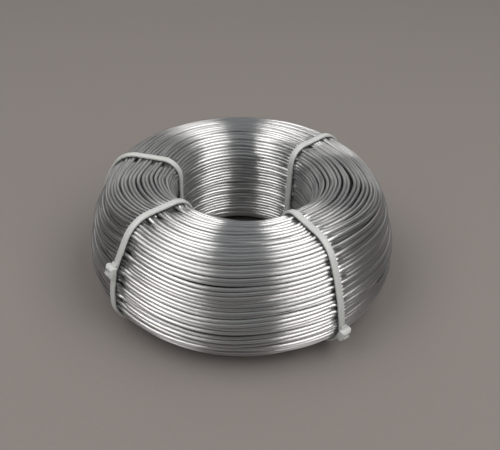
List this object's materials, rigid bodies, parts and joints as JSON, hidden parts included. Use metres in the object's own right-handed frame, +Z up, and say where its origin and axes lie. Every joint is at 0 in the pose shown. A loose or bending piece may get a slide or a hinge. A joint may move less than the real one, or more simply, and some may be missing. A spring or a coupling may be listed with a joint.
{
  "type": "coil of aluminium wire",
  "caption": "Low, fat coil of round aluminium wire lying flat, wound in close turns round an open bore and bound through the bore by narrow nylon cable ties with trimmed tails.",
  "frame": {"origin": "on the coil's axis, at the level of the floor that the four straps lie on", "axes": "+Z up along the coil's axis; -Y towards the picture's camera, +X to its right"},
  "size_m": [0.18, 0.18, 0.0677],
  "materials": {
    "aluminium_wire": "bright drawn, smooth",
    "nylon_tie": "natural moulded nylon, satin"
  },
  "bodies": {
    "root": {"wire_coil": "aluminium_wire", "cable_tie_front_left": "nylon_tie", "cable_tie_front_right": "nylon_tie", "cable_tie_back_right": "nylon_tie", "cable_tie_back_left": "nylon_tie"}
  },
  "joints": []
}
